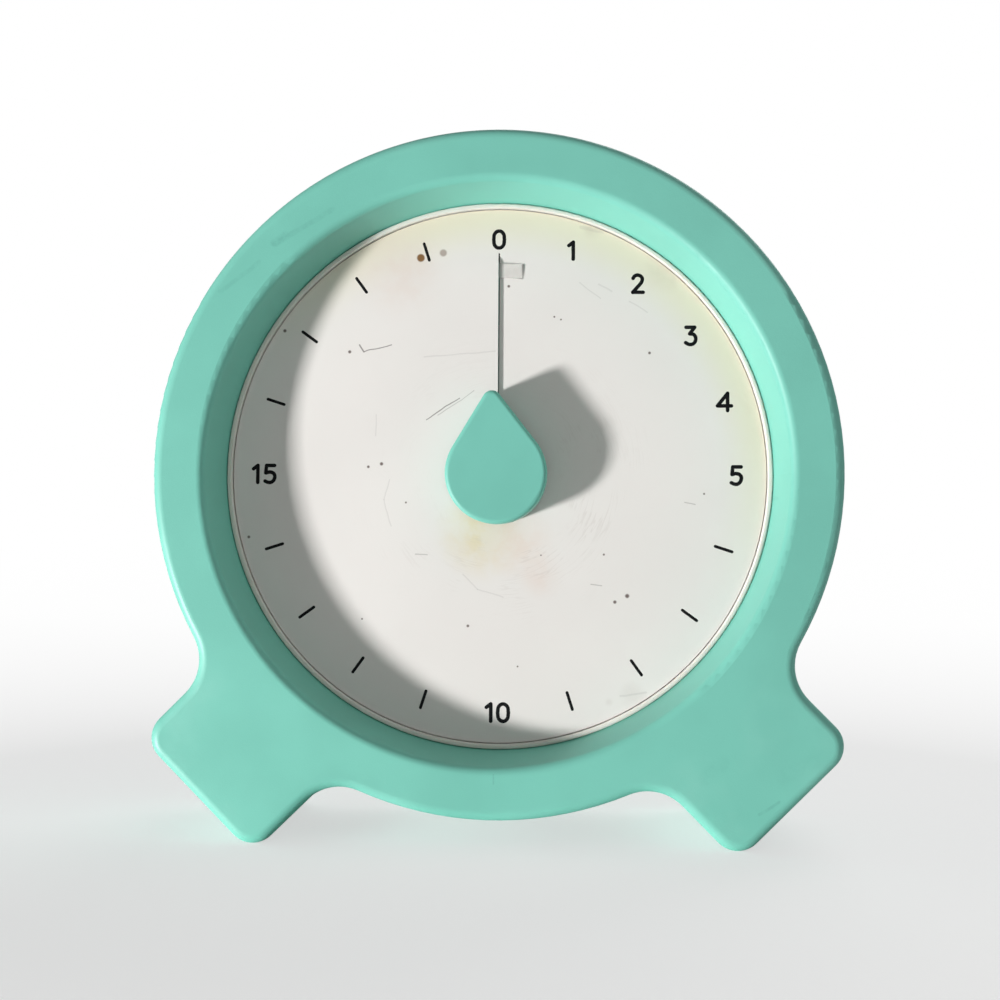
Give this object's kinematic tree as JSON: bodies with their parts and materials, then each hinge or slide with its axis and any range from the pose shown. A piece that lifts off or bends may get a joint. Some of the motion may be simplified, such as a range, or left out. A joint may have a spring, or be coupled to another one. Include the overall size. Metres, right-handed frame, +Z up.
{
  "type": "visual countdown timer",
  "caption": "Freestanding round countdown timer: deep ring housing on two splayed feet, recessed dial with a radial slit and a hidden coloured disc, teardrop knob, wind-up movement and bell.",
  "frame": {"origin": "On the floor under the middle of the timer's width and depth.", "axes": "+X to the right of someone who reads the dial, the dial faces -Y, +Z up. The dial's axis is parallel to Y, 64.9 mm above the floor."},
  "size_m": [0.1208, 0.042, 0.1253],
  "materials": {
    "mint_plastic": "satin moulded plastic",
    "mint_knob": "matt moulded plastic",
    "dial_white": "smooth satin plastic",
    "ring_white": "glossy plastic",
    "dark_plastic": "matt plastic",
    "disc_colour": "satin film",
    "clear_film": "clear plastic film",
    "hub_plastic": "natural acetal",
    "plate_steel": "zinc plated sheet",
    "turned_brass": "turned brass",
    "screw_steel": "zinc plated",
    "arbor_steel": "polished steel",
    "wheel_brass": "stamped brass",
    "wheel_steel": "stamped steel",
    "spring_steel": "blued spring steel",
    "bell_metal": "nickel plated steel"
  },
  "bodies": {
    "case": {"front_case": "mint_plastic", "rear_case": "mint_plastic", "case_screws": "screw_steel", "dial": "dial_white", "rim_ring": "ring_white", "dial_retaining_ring": "dark_plastic", "front_plate": "plate_steel", "rear_plate": "plate_steel", "plate_pillars": "turned_brass", "pillar_nuts": "turned_brass", "movement_screws": "screw_steel", "mainspring": "spring_steel", "mainspring_post": "arbor_steel", "bell": "bell_metal", "bell_stud": "turned_brass", "bell_nut": "turned_brass", "hammer_spring": "spring_steel"},
    "winding": {"knob": "mint_knob", "main_arbor": "arbor_steel", "great_wheel": "wheel_brass", "ratchet_wheel": "wheel_steel", "click": "wheel_steel", "click_spring": "spring_steel", "trip_cam": "wheel_brass"},
    "time_disc": {"time_disc": "disc_colour", "lead_tab": "clear_film", "disc_hub": "hub_plastic"},
    "second": {"second_arbor": "arbor_steel", "second_wheel": "wheel_brass"},
    "third": {"third_arbor": "arbor_steel", "third_wheel": "wheel_brass"},
    "escape": {"escape_arbor": "arbor_steel", "escape_wheel": "wheel_brass"},
    "pallet": {"pallet_arbor": "arbor_steel", "pallet_lever": "wheel_steel", "pallet_pins": "arbor_steel", "inertia_bar": "wheel_brass"},
    "hammer": {"hammer_arbor": "arbor_steel", "hammer_arm": "plate_steel", "hammer_head": "turned_brass", "trip_lever": "plate_steel"}
  },
  "joints": [
    {"name": "knob_turn", "type": "hinge", "parent": "case", "child": "winding", "pos_m": [0, 0, 0.06493], "axis": [0, 1, 0], "range_deg": [0, 345]},
    {"name": "disc_advance", "type": "slide", "parent": "winding", "child": "time_disc", "axis": [0, -1, 0], "range_m": [0, 0.000575]},
    {"name": "second_turn", "type": "hinge", "parent": "case", "child": "second", "pos_m": [-0.01237, 0, 0.05255], "axis": [0, 1, 0], "range_deg": [-2070, 0]},
    {"name": "third_turn", "type": "hinge", "parent": "case", "child": "third", "pos_m": [-0.00537, 0, 0.04043], "axis": [0, 1, 0], "range_deg": [0, 12420]},
    {"name": "escape_turn", "type": "hinge", "parent": "case", "child": "escape", "pos_m": [0.00669, 0, 0.04256], "axis": [0, 1, 0], "range_deg": [-74520, 0]},
    {"name": "pallet_rock", "type": "hinge", "parent": "case", "child": "pallet", "pos_m": [0.01405, 0, 0.04681], "axis": [0, 1, 0], "range_deg": [-5, 5]},
    {"name": "hammer_swing", "type": "hinge", "parent": "case", "child": "hammer", "pos_m": [-0.017, 0, 0.06893], "axis": [0, -1, 0], "range_deg": [-1, 12], "stiffness_Nm_per_rad": 0.004}
  ],
  "couplings": [
    {"joint": "disc_advance", "follows": "knob_turn", "m_per_rad": 0.000095493},
    {"joint": "second_turn", "follows": "knob_turn", "ratio": -6},
    {"joint": "third_turn", "follows": "knob_turn", "ratio": 36},
    {"joint": "escape_turn", "follows": "knob_turn", "ratio": -216}
  ]
}
